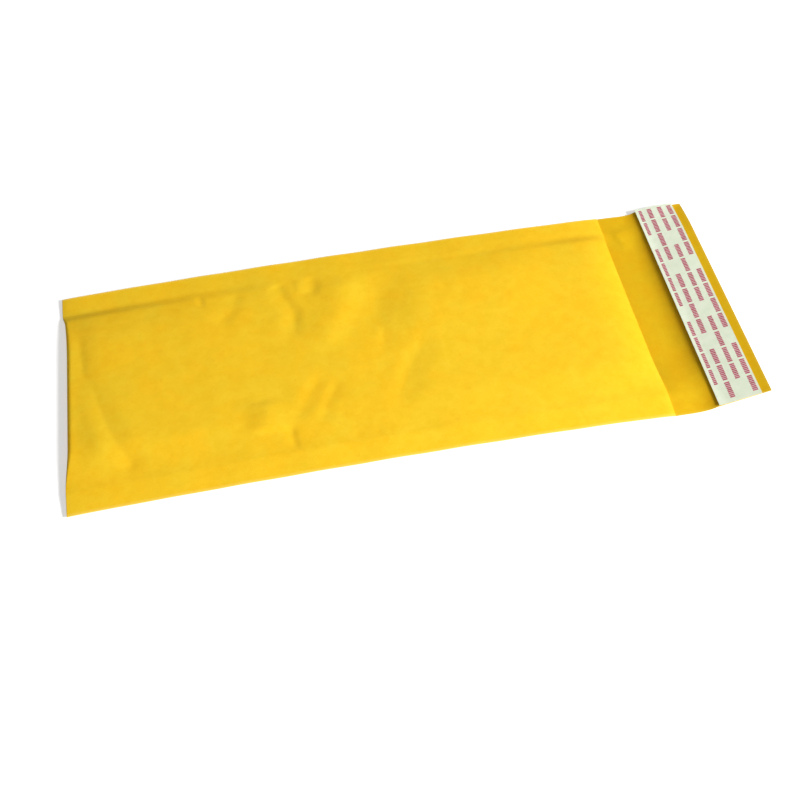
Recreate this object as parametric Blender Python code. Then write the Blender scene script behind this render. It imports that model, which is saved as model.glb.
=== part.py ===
"""A padded paper mailer that lies on its back, empty, with its flap open.

One sheet of golden kraft paper is folded across the bottom end and sealed along both long sides,
which makes a flat pocket. Its back panel runs on past the mouth as a short flap. A folded web of
bubble film lines the pocket. The flap carries a strip of adhesive under a white peel-off liner.

The bottom fold is at -X and the flap at +X. The origin is on the floor under the middle.
"""

import math

import bmesh
import bpy

# The sheet of paper
POCKET_LENGTH = 0.250
ENVELOPE_WIDTH = 0.120
FLAP_LENGTH = 0.040
PAPER = 0.0002
CRUSHED_FILM = 0.0001
SEAM_WIDTH = 0.0105
SHOULDER = 0.009

# The padding
BUBBLE_HEIGHT = 0.0020
POCKET_GAP = 0.0005
CROWN = 0.0004
LINING_SETBACK = 0.0015
LINING_MARGIN = 0.0015

# How the empty mailer lies: what the folding, the cutting and the handling did to it
SEAM_LIFT = 0.0010
NEAR_SEAM_BOW = 0.0028
FAR_SEAM_BOW = 0.0026
BOW_FULLNESS = 0.6
SIDE_DRAW = 0.0004
FOLD_SETBACK_NEAR = 0.0008
FOLD_SETBACK_FAR = 0.0022
FOLD_DROP = 0.0008
FOLD_RUN = 0.013
MOUTH_DROP = 0.0018
MOUTH_RUN = 0.020
MOUTH_BOW = 0.0009

# The flap curls up from the bend to the liner, and then runs straight to its free edge
FLAP_BEND = 0.0085
CURL_RISE_NEAR = 0.0026
CURL_RISE_FAR = 0.0019
TIP_RISE_NEAR = 0.0078
TIP_RISE_FAR = 0.0046

# The closure on the flap
LINER_START = 0.0180
LINER_WIDTH = 0.0180
LINER_THICKNESS = 0.0001
ADHESIVE_WIDTH = 0.0140
ADHESIVE_THICKNESS = 0.00015
ADHESIVE_END_MARGIN = 0.0010

# The gap between pieces that lie on each other
CLEARANCE = 0.00025

# How finely the surfaces are divided
GRID_STEP = 0.0058
NOSE_STEPS = 6
SHOULDER_SHARES = (0.40, 0.68, 1.0)
CURL_SHARES = (0.40, 0.70, 0.87)

# Dents in the front panel: start and end as shares of the pocket's length and of the width from
# the near side, then the depth, and how far the dent reaches to its fold side and its mouth side.
# A negative depth is a ridge.
DENTS = (
    ((0.034, 0.700), (0.116, 0.150), 0.00050, 0.0085, 0.0070),
    ((0.392, 0.875), (0.414, 0.667), 0.00045, 0.0070, 0.0045),
    ((0.554, 0.883), (0.556, 0.517), 0.00055, 0.0140, 0.0080),
    ((0.504, 0.867), (0.448, 0.550), -0.0007, 0.0180, 0.0140),
    ((0.636, 0.517), (0.556, 0.192), 0.00035, 0.0090, 0.0070),
    ((0.448, 0.408), (0.396, 0.242), 0.00040, 0.0120, 0.0070),
    ((0.374, 0.192), (0.380, 0.075), 0.00025, 0.0050, 0.0040),
    ((0.316, 0.858), (0.280, 0.717), 0.00020, 0.0090, 0.0050),
)

HALF_WIDTH = ENVELOPE_WIDTH / 2
FOLD_X = -(POCKET_LENGTH + FLAP_LENGTH) / 2
MOUTH_X = FOLD_X + POCKET_LENGTH
SEAM_THICKNESS = 2 * PAPER + CRUSHED_FILM
PAD_THICKNESS = 2 * (PAPER + CLEARANCE + BUBBLE_HEIGHT) + POCKET_GAP


def ease(share):
    """A share from 0 to 1 that starts and ends gently."""
    share = min(max(share, 0.0), 1.0)
    return share * share * (3 - 2 * share)


def mix(low, high, share):
    return low + (high - low) * share


def near_to_far(y):
    """0 at the near edge and 1 at the far edge."""
    return (y + HALF_WIDTH) / ENVELOPE_WIDTH


def padding_share(y):
    """0 in the sealed seams, rising over the shoulder to 1 where the padding is full."""
    inside = (HALF_WIDTH - abs(y) - SEAM_WIDTH) / SHOULDER
    inside = min(max(inside, 0.0), 1.0)
    return 1 - (1 - inside) ** 2


def bow_share(along):
    """0 at both ends of a seam, rising to 1 a little past its middle."""
    return max(0.0, math.sin(math.pi * min(along, 1.0) ** 1.2)) ** BOW_FULLNESS


def seam_height(along, y):
    """The height of a seam's underside over the floor, at a share of the pocket's length."""
    bow = FAR_SEAM_BOW if y > 0 else NEAR_SEAM_BOW
    return SEAM_LIFT + bow * bow_share(along)


def full_thickness(along):
    """The padded thickness, which is less at the fold and at the cut mouth."""
    from_fold = along * POCKET_LENGTH
    from_mouth = POCKET_LENGTH - from_fold
    lost_at_fold = FOLD_DROP * (1 - ease(from_fold / FOLD_RUN))
    lost_at_mouth = MOUTH_DROP * max(0.0, 1 - from_mouth / MOUTH_RUN) ** 2
    return PAD_THICKNESS - lost_at_fold - lost_at_mouth


def dent_depth(x, y):
    """How deep the handling dents are at a place, measured from the bottom fold and the near edge."""
    deepest = 0.0
    highest = 0.0
    for start, end, depth, fold_side, mouth_side in DENTS:
        x0 = start[0] * POCKET_LENGTH
        y0 = start[1] * ENVELOPE_WIDTH
        run_x = end[0] * POCKET_LENGTH - x0
        run_y = end[1] * ENVELOPE_WIDTH - y0
        run = math.hypot(run_x, run_y)
        share = ((x - x0) * run_x + (y - y0) * run_y) / run**2
        aside = ((y - y0) * run_x - (x - x0) * run_y) / run
        if run_y > 0:
            aside = -aside
        reach = fold_side if aside < 0 else mouth_side
        across_fall = 1 - ease(abs(aside) / reach)
        along_fall = ease((share + 0.25) / 0.35) * ease((1.25 - share) / 0.35)
        deepest = max(deepest, depth * across_fall * along_fall)
        highest = min(highest, depth * across_fall * along_fall)
    return deepest + highest


def back_under(along, y):
    """The underside of the back panel: flat on the floor, rising to the seams."""
    return seam_height(along, y) * (1 - padding_share(y))


def front_over(along, y):
    """The top of the front panel."""
    seam_top = seam_height(along, y) + SEAM_THICKNESS
    share = padding_share(y)
    crown = CROWN * (1 - (y / HALF_WIDTH) ** 2) * ease(along * 8) * ease((1 - along) * 8)
    x = mix(fold_end_x(y), front_end_x(y), along)
    dents = dent_depth(x - FOLD_X, y + HALF_WIDTH)
    return mix(seam_top, full_thickness(along), share) + (crown - dents) * share


def smooth_top(along, y):
    """The top of the front panel as it would be without its crown and its dents."""
    seam_top = seam_height(along, y) + SEAM_THICKNESS
    return mix(seam_top, full_thickness(along), padding_share(y))


def fold_point(y, angle, inset, top, bottom):
    """A point of the rounded bottom fold, at an angle of 90 degrees on top to -90 below."""
    half = (top - bottom) / 2
    setback = mix(FOLD_SETBACK_NEAR, FOLD_SETBACK_FAR, near_to_far(y)) * padding_share(y)
    outer_half = (smooth_top(0.0, y) - back_under(0.0, y)) / 2
    centre_x = FOLD_X + setback + outer_half
    reach = max(outer_half - inset, 0.0)
    if half < 1e-7:
        reach = 0.0
    x = centre_x - reach * math.cos(angle)
    z = (top + bottom) / 2 + half * math.sin(angle)
    return (x, y, z)


def fold_end_x(y):
    """Where the panels start, at the top and bottom of the rounded fold."""
    return fold_point(y, math.pi / 2, 0.0, smooth_top(0.0, y), back_under(0.0, y))[0]


def cavity(along, y):
    """The inner faces of the two panels, which meet where the seam starts."""
    low = back_under(along, y) + PAPER
    high = front_over(along, y) - PAPER
    if padding_share(y) < 1e-6:
        middle = (low + high) / 2
        return middle, middle
    return low, high


def side_stations():
    """The places across the width, from the near edge to the far edge."""
    aside = [0.0, SEAM_WIDTH / 2, SEAM_WIDTH, SEAM_WIDTH + LINING_MARGIN]
    for share in SHOULDER_SHARES:
        aside.append(SEAM_WIDTH + max(SHOULDER * share, LINING_MARGIN + 0.0005))
    middle = HALF_WIDTH - aside[-1]
    count = max(2, round(middle / GRID_STEP))
    near = [a - HALF_WIDTH for a in aside]
    near += [-middle * (1 - (i + 1) / count) for i in range(count)]
    return near + [-y for y in reversed(near[:-1])]


def length_shares():
    """The places along the pocket, as shares from the bottom fold to the mouth."""
    count = max(4, round(POCKET_LENGTH / GRID_STEP))
    return [i / count for i in range(count + 1)]


def fold_angles():
    """The angles of the rows between the top and the bottom of the rounded fold."""
    return [math.pi * (0.5 - i / NOSE_STEPS) for i in range(1, NOSE_STEPS)]


class Skin:
    """A mesh in the making, whose surfaces share their corner points."""

    def __init__(self):
        self.mesh = bmesh.new()
        self.corners = {}

    def corner(self, point):
        key = tuple(round(c * 1e7) for c in point)
        if key not in self.corners:
            self.corners[key] = self.mesh.verts.new(point)
        return self.corners[key]

    def face(self, points):
        corners = []
        for point in points:
            corner = self.corner(point)
            if corner not in corners:
                corners.append(corner)
        if len(corners) > 2:
            self.mesh.faces.new(corners)

    def sheet(self, rows):
        """Faces between neighbouring rows of points."""
        for row, after in zip(rows, rows[1:]):
            for i in range(len(row) - 1):
                self.face((row[i], row[i + 1], after[i + 1], after[i]))

    def finish(self, name, material):
        """The closed mesh as a named object."""
        bmesh.ops.dissolve_limit(
            self.mesh,
            angle_limit=math.radians(0.02),
            verts=self.mesh.verts,
            edges=self.mesh.edges,
            delimit=set(),
        )
        bmesh.ops.recalc_face_normals(self.mesh, faces=self.mesh.faces)
        data = bpy.data.meshes.new(name)
        self.mesh.to_mesh(data)
        self.mesh.free()
        data.shade_smooth()
        data.set_sharp_from_angle(angle=math.radians(40))
        data.materials.append(material)
        thing = bpy.data.objects.new(name, data)
        bpy.context.scene.collection.objects.link(thing)
        return thing


def finish_material(name, colour, roughness):
    """A plain surface with a colour and a roughness."""
    material = bpy.data.materials.new(name)
    material.use_nodes = True
    shader = material.node_tree.nodes["Principled BSDF"]
    shader.inputs["Base Color"].default_value = (*colour, 1.0)
    shader.inputs["Roughness"].default_value = roughness
    shader.inputs["Metallic"].default_value = 0.0
    return material


def panel_row(along, ys, surface, start_x, end_x):
    """A row of points across a panel, at one share of its length."""
    row = []
    for y in ys:
        x = mix(start_x(y), end_x(y), along)
        drawn_in = y * (1 - SIDE_DRAW / HALF_WIDTH * bow_share(along))
        row.append((x, drawn_in, surface(along, y)))
    return row


def front_end_x(y):
    """The mouth's cut edge, which the padding draws back a little in the middle."""
    return MOUTH_X - MOUTH_BOW * padding_share(y)


def back_end_x(y):
    return MOUTH_X


def flap_rise(run, y):
    """How far the flap has risen at a distance from the mouth."""
    curl = mix(CURL_RISE_NEAR, CURL_RISE_FAR, near_to_far(y))
    tip = mix(TIP_RISE_NEAR, TIP_RISE_FAR, near_to_far(y))
    curled = min(max(0.0, run - FLAP_BEND) / (LINER_START - FLAP_BEND), 1.0)
    straight = max(0.0, run - LINER_START) / (FLAP_LENGTH - LINER_START)
    return curl * curled**3 + (tip - curl) * straight


def flap_under(run, y):
    """The underside of the flap at a distance from the mouth."""
    at_mouth = back_under(1.0, y)
    return at_mouth * (1 - ease(run / LINER_START)) + flap_rise(run, y)


def flap_runs():
    """The distances from the mouth at which the flap has a row of points."""
    runs = [FLAP_BEND / 2, FLAP_BEND]
    runs += [mix(FLAP_BEND, LINER_START, share) for share in CURL_SHARES]
    return sorted([*runs, LINER_START, LINER_START + LINER_WIDTH, FLAP_LENGTH])


def flap_row(run, ys, height):
    """A row of points across the flap, at a height over its underside."""
    return [(MOUTH_X + run, y, flap_under(run, y) + height) for y in ys]


def kraft_envelope():
    """The folded sheet: front panel, rounded bottom fold, back panel and flap."""
    skin = Skin()
    ys = side_stations()
    shares = length_shares()
    inner = [y for y in ys if abs(y) <= HALF_WIDTH - SEAM_WIDTH + 1e-9]

    front = [panel_row(s, ys, front_over, fold_end_x, front_end_x) for s in shares]
    back = [panel_row(s, ys, back_under, fold_end_x, back_end_x) for s in shares]
    fold = []
    for angle in fold_angles():
        row = [fold_point(y, angle, 0.0, front_over(0.0, y), back_under(0.0, y)) for y in ys]
        fold.append(row)
    under = [flap_row(run, ys, 0.0) for run in flap_runs()]
    skin.sheet(front[::-1] + fold + back + under)

    front_in = [
        panel_row(s, inner, lambda a, y: cavity(a, y)[1], fold_end_x, front_end_x) for s in shares
    ]
    back_in = [
        panel_row(s, inner, lambda a, y: cavity(a, y)[0], fold_end_x, back_end_x) for s in shares
    ]
    # At the seams the two inner faces meet, and both end at the mouth's own line
    fold_in = []
    for angle in fold_angles():
        row = []
        for y in inner:
            low, high = cavity(0.0, y)
            row.append(fold_point(y, angle, PAPER, high, low))
        fold_in.append(row)
    skin.sheet(front_in[::-1] + fold_in + back_in)

    # The flap's upper face starts where the back panel's inner face ends
    over_mouth = []
    for y in ys:
        middle_of_seam = padding_share(y) < 1e-6 and abs(y) <= HALF_WIDTH - SEAM_WIDTH + 1e-9
        height = cavity(1.0, y)[0] if middle_of_seam else back_under(1.0, y) + PAPER
        over_mouth.append((MOUTH_X, y, height))
    over = [over_mouth] + [flap_row(run, ys, PAPER) for run in flap_runs()]
    skin.sheet(over)
    skin.sheet([over[-1], under[-1]])

    # The cut edge of the front panel, and of both seams beside it
    first = ys.index(inner[0])
    last = ys.index(inner[-1])
    skin.sheet([front[-1][first : last + 1], front_in[-1]])
    skin.sheet([front[-1][: first + 1], over_mouth[: first + 1]])
    skin.sheet([front[-1][last:], over_mouth[last:]])

    # The long sides: two plies in each seam, one ply along the flap
    for side in (0, -1):
        upper = [row[side] for row in front]
        lower = [row[side] for row in back]
        between = [(p[0], p[1], p[2] + PAPER) for p in lower]
        between[-1] = over_mouth[side]
        skin.sheet([upper, between])
        skin.sheet([between, lower])
        rounded = [row[side] for row in fold]
        skin.face([upper[0], *rounded, lower[0], between[0]])
        skin.sheet([[row[side] for row in over], [lower[-1], *[row[side] for row in under]]])
    return skin


def lining_faces(along, y):
    """The four heights of the lining: back outer, back inner, front inner, front outer."""
    low, high = cavity(along, y)
    middle = (back_under(along, y) + smooth_top(along, y)) / 2
    return (
        low + CLEARANCE,
        middle - POCKET_GAP / 2,
        middle + POCKET_GAP / 2,
        high - CLEARANCE,
    )


def bubble_lining():
    """The folded web of bubble film that pads both panels."""
    skin = Skin()
    inset = SEAM_WIDTH + LINING_MARGIN
    ys = [y for y in side_stations() if abs(y) <= HALF_WIDTH - inset + 1e-9]
    shares = length_shares()

    def lining_end_x(y):
        return front_end_x(y) - LINING_SETBACK

    def rows(which):
        return [
            panel_row(s, ys, lambda a, y: lining_faces(a, y)[which], fold_end_x, lining_end_x)
            for s in shares
        ]

    back_outer, back_inner, front_inner, front_outer = (rows(i) for i in range(4))
    web = PAPER + CLEARANCE + BUBBLE_HEIGHT
    outer_fold = []
    inner_fold = []
    for angle in fold_angles():
        outer = []
        inner = []
        for y in ys:
            heights = lining_faces(0.0, y)
            outer.append(fold_point(y, angle, PAPER + CLEARANCE, heights[3], heights[0]))
            inner.append(fold_point(y, angle, web, heights[2], heights[1]))
        outer_fold.append(outer)
        inner_fold.append(inner)
    outside = front_outer[::-1] + outer_fold + back_outer
    inside = front_inner[::-1] + inner_fold + back_inner
    skin.sheet(outside)
    skin.sheet(inside)
    skin.sheet([outside[0], inside[0]])
    skin.sheet([outside[-1], inside[-1]])
    for side in (0, -1):
        skin.sheet([[row[side] for row in outside], [row[side] for row in inside]])
    return skin


def ribbon(start, width, end_margin, height, thickness):
    """A flat strip that lies along the flap, across the mailer's whole width."""
    skin = Skin()
    ends = HALF_WIDTH - end_margin
    ys = [y for y in side_stations() if abs(y) < ends - 1e-9]
    ys = [-ends, *ys, ends]
    runs = (start, start + width)
    lower = [flap_row(run, ys, height) for run in runs]
    upper = [flap_row(run, ys, height + thickness) for run in runs]
    skin.sheet(lower)
    skin.sheet(upper)
    for i in (0, -1):
        skin.sheet([lower[i], upper[i]])
        skin.face([lower[0][i], lower[1][i], upper[1][i], upper[0][i]])
    return skin


def adhesive_strip():
    """The sticky strip, centred under its liner."""
    start = LINER_START + (LINER_WIDTH - ADHESIVE_WIDTH) / 2
    height = PAPER + CLEARANCE
    return ribbon(start, ADHESIVE_WIDTH, ADHESIVE_END_MARGIN, height, ADHESIVE_THICKNESS)


def release_liner():
    """The peel-off liner that covers the sticky strip."""
    height = PAPER + CLEARANCE + ADHESIVE_THICKNESS + CLEARANCE
    return ribbon(LINER_START, LINER_WIDTH, 0.0, height, LINER_THICKNESS)


def clear_scene():
    for thing in list(bpy.data.objects):
        bpy.data.objects.remove(thing, do_unlink=True)


def main():
    clear_scene()
    kraft = finish_material("golden_kraft", (0.86, 0.53, 0.035), 0.55)
    film = finish_material("bubble_film", (0.80, 0.85, 0.86), 0.20)
    glue = finish_material("clear_adhesive", (0.82, 0.78, 0.62), 0.30)
    liner = finish_material("liner_paper", (0.80, 0.87, 0.80), 0.35)
    kraft_envelope().finish("kraft_envelope", kraft)
    bubble_lining().finish("bubble_lining", film)
    adhesive_strip().finish("adhesive_strip", glue)
    release_liner().finish("release_liner", liner)


main()
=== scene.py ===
# %% [markdown]
# # A padded paper mailer, dressed for its picture
#
# This lesson takes the plain solids of a padded mailer and gives them the looks of the real thing:
# golden kraft paper with handling dents, film with real bubbles in it, and a white peel-off liner.
#
# The solids stay where they are. Each piece made here takes its place from them, so that it lies
# where the solid lies, and it stands for that solid in the picture.
#
# The mailer lies on its back. Its bottom fold is at -X, its open flap at +X, and its origin is on
# the floor under its middle. All sizes are in metres.

import math

import bmesh
import bpy
import numpy as np
from mathutils import Matrix, Vector, noise


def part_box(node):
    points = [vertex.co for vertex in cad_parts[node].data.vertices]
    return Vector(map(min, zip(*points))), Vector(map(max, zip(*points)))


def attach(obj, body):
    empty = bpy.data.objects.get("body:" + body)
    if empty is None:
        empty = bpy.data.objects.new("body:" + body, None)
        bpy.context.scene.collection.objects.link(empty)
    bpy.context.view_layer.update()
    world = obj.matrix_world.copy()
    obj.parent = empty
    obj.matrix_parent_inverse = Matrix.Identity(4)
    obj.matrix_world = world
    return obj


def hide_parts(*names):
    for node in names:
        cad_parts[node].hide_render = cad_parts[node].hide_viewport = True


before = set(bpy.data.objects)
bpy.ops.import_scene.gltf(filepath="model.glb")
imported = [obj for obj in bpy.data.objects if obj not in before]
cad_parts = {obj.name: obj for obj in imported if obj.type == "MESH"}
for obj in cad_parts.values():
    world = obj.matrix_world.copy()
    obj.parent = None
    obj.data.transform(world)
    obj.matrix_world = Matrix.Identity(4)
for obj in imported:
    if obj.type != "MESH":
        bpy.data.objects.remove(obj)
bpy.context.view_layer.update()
print("solids:", ", ".join(sorted(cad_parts)))

# %% [markdown]
# ## Sizes
#
# Most sizes are read from the solids' boxes, so the picture follows the model. The sizes that no box
# shows, such as the paper's thickness or how a panel rises from its seam, are named here once.

# %% Sizes of the mailer
paper_low, paper_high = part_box("kraft_envelope")
tape_low, tape_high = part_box("adhesive_strip")
liner_low, liner_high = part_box("release_liner")

MOUTH_TO_LINER = 0.0180
FOLD_X = paper_low.x
FREE_EDGE_X = paper_high.x
MOUTH_X = liner_low.x - MOUTH_TO_LINER
HALF_WIDTH = paper_high.y
WIDTH = 2 * HALF_WIDTH
POCKET_LENGTH = MOUTH_X - FOLD_X
FLAP_LENGTH = FREE_EDGE_X - MOUTH_X
LINER_WIDTH = liner_high.x - liner_low.x
TAPE_WIDTH = tape_high.x - tape_low.x
TAPE_START = tape_low.x - MOUTH_X

PAPER = 0.0002
CRUSHED_FILM = 0.0001
SEAM_THICKNESS = 2 * PAPER + CRUSHED_FILM
SEAM_WIDTH = 0.0105
NEAR_SHOULDER = 0.022
FAR_SHOULDER = 0.028
FAR_GROOVE = 0.006
FAR_GROOVE_SHARE = 0.36
PAD_THICKNESS = 0.0054
POCKET_GAP = 0.0005
CROWN = 0.0004
# Two points nearer to each other than this are taken as one
TINY = 1e-7
UP = np.array([0.0, 0.0, 1.0])
print(f"pocket {POCKET_LENGTH * 1000:.0f} x {WIDTH * 1000:.0f} mm, flap {FLAP_LENGTH * 1000:.0f} mm")

# %% [markdown]
# ## The camera
#
# The camera looks down on the mailer from beyond its near side, slightly from the left. Its lens was
# found by fitting the four corners of the pocket. It is written as the point that it looks at, a
# direction, a distance and a lens, and the script works out its place from them.

# %% Camera
CAMERA_AZIMUTH = -7.83
CAMERA_ELEVATION = 51.15
CAMERA_ROLL = -3.09
CAMERA_DISTANCE = 0.5446
CAMERA_LENS = 58.09
CAMERA_SENSOR = 36.0
AIM = Vector((-0.0049, -0.0274, 0.0))


def place_camera():
    """A camera at the photograph's angle, with its place worked out from its direction."""
    azimuth = math.radians(CAMERA_AZIMUTH)
    elevation = math.radians(CAMERA_ELEVATION)
    back = Vector(
        (
            math.sin(azimuth) * math.cos(elevation),
            -math.cos(azimuth) * math.cos(elevation),
            math.sin(elevation),
        )
    )
    data = bpy.data.cameras.new("camera")
    data.lens = CAMERA_LENS
    data.sensor_width = CAMERA_SENSOR
    camera = bpy.data.objects.new("camera", data)
    bpy.context.scene.collection.objects.link(camera)
    turn = (-back).to_track_quat("-Z", "Y").to_matrix().to_4x4()
    roll = Matrix.Rotation(math.radians(CAMERA_ROLL), 4, "Z")
    camera.matrix_world = Matrix.Translation(AIM + back * CAMERA_DISTANCE) @ turn @ roll
    bpy.context.scene.camera = camera
    return camera


camera = place_camera()
print("camera at", tuple(round(c, 3) for c in camera.location))

# %% [markdown]
# ## The form of the paper
#
# A mailer is one sheet of paper, folded once and sealed along both long sides. Cloth simulation could
# blow it up like a pillow, but an empty mailer is pressed flat and its form follows a rule. The sealed
# seams are thin and bow up a little between their ends, and the middle is flat and padded. Between
# them the near shoulder rises evenly, and the far one is wide and gentle with a groove beside its
# seam. So the form is written as heights over the floor, for whole grids of points at once with numpy.
#
# `along` runs from 0 at the bottom fold to 1 at the mouth, and `y` runs across the mailer.

# %% How the empty mailer lies
SEAM_LIFT = 0.0010
NEAR_SEAM_BOW = 0.0028
FAR_SEAM_BOW = 0.0032
BOW_FULLNESS = 0.6
NEAR_BOW_LEAN = 1.2
FAR_BOW_LEAN = 1.0
NEAR_SEAM_TILT = 0.0010
FAR_TILT_AT_FOLD = -0.0004
FAR_TILT_LATE = 0.0015
# The higher this power, the nearer to the mouth the late tilt of the far seam holds out
TILT_HOLD = 6
NEAR_DRAW = 0.0004
FAR_DRAW = 0.0010
FOLD_SETBACK_NEAR = 0.0008
FOLD_SETBACK_FAR = 0.0022
FOLD_DROP = 0.0008
FOLD_RUN = 0.013
MOUTH_DROP = 0.0025
MOUTH_RUN = 0.020
MOUTH_BOW = 0.0009


def ease(share):
    """A share from 0 to 1 that starts and ends gently."""
    share = np.clip(share, 0.0, 1.0)
    return share * share * (3 - 2 * share)


def graded(near, far, y):
    """A size that goes evenly from its value at the near edge to its value at the far edge."""
    share = (y + HALF_WIDTH) / WIDTH
    return near * (1 - share) + far * share


def padding_share(y):
    """0 in the sealed seams, rising over the shoulder to 1 where the padding is full."""
    inside = HALF_WIDTH - np.abs(y) - SEAM_WIDTH
    near = ease(inside / NEAR_SHOULDER)
    gentle = 1 - (1 - np.clip(inside / FAR_SHOULDER, 0.0, 1.0)) ** 2
    far = gentle + FAR_GROOVE_SHARE * (ease(inside / FAR_GROOVE) - gentle)
    return np.where(y < 0, near, far)


def bow_share(along, y):
    """0 at both ends of a seam, rising to 1 near its middle."""
    lean = np.where(y > 0, FAR_BOW_LEAN, NEAR_BOW_LEAN)
    return np.sin(math.pi * np.clip(along, 0.0, 1.0) ** lean) ** BOW_FULLNESS


def full_thickness(along):
    """The padded thickness, which is less at the fold and at the cut mouth."""
    from_fold = along * POCKET_LENGTH
    from_mouth = POCKET_LENGTH - from_fold
    at_fold = FOLD_DROP * (1 - ease(from_fold / FOLD_RUN))
    at_mouth = MOUTH_DROP * (1 - np.clip(from_mouth / MOUTH_RUN, 0.0, 1.0)) ** 3
    return PAD_THICKNESS - at_fold - at_mouth


def drawn_in(along, y):
    """Where a place across the flat sheet comes to lie, as the padding draws the seams in."""
    draw = np.where(y > 0, FAR_DRAW, NEAR_DRAW)
    return y * (1 - draw / HALF_WIDTH * bow_share(along, y))


print(f"half way along, the padding is {full_thickness(0.5) * 1000:.1f} mm thick")

# %% [markdown]
# ## Creases and unevenness
#
# Handling leaves creases in the front panel. Each one is a valley along a bent line. One of its walls
# may be short and steep and the other long and gentle, and some have a crisp bottom where the paper
# has kinked. A crease fades out at both ends, and it stops where the sealed seam begins. Between the
# creases the paper bulges in low ridges. They are real geometry, because a bump map would vanish in a
# view along the panel. A little smooth noise gives the faint unevenness of paper over bubbles.

# %% Creases and ridges
# The points run from the far side to the near side, in millimetres from the bottom fold and from the
# near edge. Then come the depth or height, the reach to the fold, the reach to the mouth, the
# crispness, and the shares of the length over which the first end and the last end fade out. The last
# ridge runs along the panel from the mouth, so its reaches are to the far side and to the near side.
CREASES = (
    (((9.0, 78), (13.3, 61), (16.2, 46), (21.2, 31), (29.5, 14)), 0.60, 6.5, 8.0, 0.90, 0.50, 0.10),
    (((7.6, 96), (9.0, 72), (13.0, 58)), 0.22, 3.5, 3.0, 0.70, 0.30, 0.30),
    (((96.5, 108), (99.5, 96), (102.8, 87), (101.6, 78), (103, 67)), 0.58, 7.0, 4.4, 0.85, 0.10, 0.45),
    (((112.0, 109), (113.5, 102), (111, 94)), 0.40, 7.0, 4.0, 0.70, 0.15, 0.35),
    (((138.5, 107), (139.5, 92), (138.5, 78), (139.5, 60)), 0.78, 12.0, 20.0, 0.45, 0.40, 0.60),
    (((139.8, 88), (139.2, 70), (137, 52)), 0.30, 3.5, 8.0, 0.60, 0.45, 0.35),
    (((159, 66), (153, 55), (145, 42), (141, 32), (134, 20)), 0.34, 6.0, 9.5, 0.45, 0.25, 0.30),
    (((110, 50), (102.5, 38), (95.5, 25)), 0.30, 5.0, 6.0, 0.60, 0.20, 0.20),
    (((117, 46), (110, 33), (106, 22)), 0.22, 4.0, 5.0, 0.60, 0.20, 0.20),
    (((93.0, 25), (93.3, 18), (95.2, 8)), 0.40, 4.0, 2.6, 0.85, 0.25, 0.12),
    (((61.6, 107), (63.4, 98)), 0.38, 3.0, 1.8, 0.85, 0.15, 0.40),
    (((79, 106), (76, 95), (69, 84)), 0.28, 9.0, 4.5, 0.60, 0.20, 0.20),
    (((119.6, 18), (119.3, 6)), 0.13, 2.0, 6.0, 0.70, 0.30, 0.20),
    (((128.6, 19), (128.4, 7)), 0.14, 2.4, 2.0, 0.70, 0.30, 0.20),
)
RIDGES = (
    (((127, 107), (122, 86), (111, 60)), 0.62, 16.0, 11.0, 0.15, 0.20, 0.25),
    (((84.5, 40), (83, 21)), 0.70, 10.0, 12.0, 0.35, 0.25, 0.25),
    (((105.5, 108), (106, 98)), 0.20, 2.0, 6.0, 0.50, 0.20, 0.30),
    (((224, 93), (184, 92), (140, 93)), 0.90, 16.5, 46.0, 0.15, 0.35, 0.30),
)
MILLIMETRE = 0.001
DENT_EDGE = 0.005
KINK = 1.35
UNEVEN_HEIGHT = 0.00022
UNEVEN_LENGTH = 0.024
UNEVEN_SEED = 3.0
DIMPLE_HEIGHT = 0.00008
DIMPLE_LENGTH = 0.0070
DIMPLE_SEED = 8.0
# The crown and the unevenness fade out over an eighth of the length at both ends
END_PARTS = 8
SEAM_WAVE_HEIGHT = 0.00012
SEAM_WAVE_LENGTH = 0.030


def fold_of_paper(x, y, points, depth, fold_side, mouth_side, crisp, first_fade, last_fade):
    """The height of one crease or ridge over a grid of places, all in millimetres."""
    spans = list(zip(points, points[1:]))
    total = sum(math.dist(start, end) for start, end in spans)
    nearest = np.full(x.shape, np.inf)
    height = np.zeros(x.shape)
    passed = 0.0
    for start, end in spans:
        length = math.dist(start, end)
        way = ((end[0] - start[0]) / length, (end[1] - start[1]) / length)
        along = (x - start[0]) * way[0] + (y - start[1]) * way[1]
        along = np.clip(along, 0.0, length)
        aside_x = x - start[0] - along * way[0]
        aside_y = y - start[1] - along * way[1]
        distance = np.hypot(aside_x, aside_y)
        on_mouth_side = way[0] * aside_y - way[1] * aside_x > 0
        off = np.clip(distance / np.where(on_mouth_side, mouth_side, fold_side), 0.0, 1.0)
        wall = (1 - crisp) * (1 - ease(off)) + crisp * (1 - off) ** KINK
        share = (passed + along) / total
        taper = ease(share / first_fade) * ease((1 - share) / last_fade)
        height = np.where(distance < nearest, depth * wall * taper, height)
        nearest = np.minimum(distance, nearest)
        passed += length
    return height


def handling(x, y):
    """The height that creases and ridges add at each place, measured like the mailer itself."""
    from_fold = (x - FOLD_X) / MILLIMETRE
    from_near = (y + HALF_WIDTH) / MILLIMETRE
    creases = [fold_of_paper(from_fold, from_near, *crease) for crease in CREASES]
    ridges = [fold_of_paper(from_fold, from_near, *ridge) for ridge in RIDGES]
    return (np.max(ridges, axis=0) - np.max(creases, axis=0)) * MILLIMETRE


def unevenness(x, y, height, length, seed):
    """Smooth noise over a grid of points, from -height to height."""
    places = zip((x / length).ravel(), (y / length).ravel())
    values = [noise.noise(Vector((px, py, seed))) for px, py in places]
    return height * np.array(values).reshape(x.shape)


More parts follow.
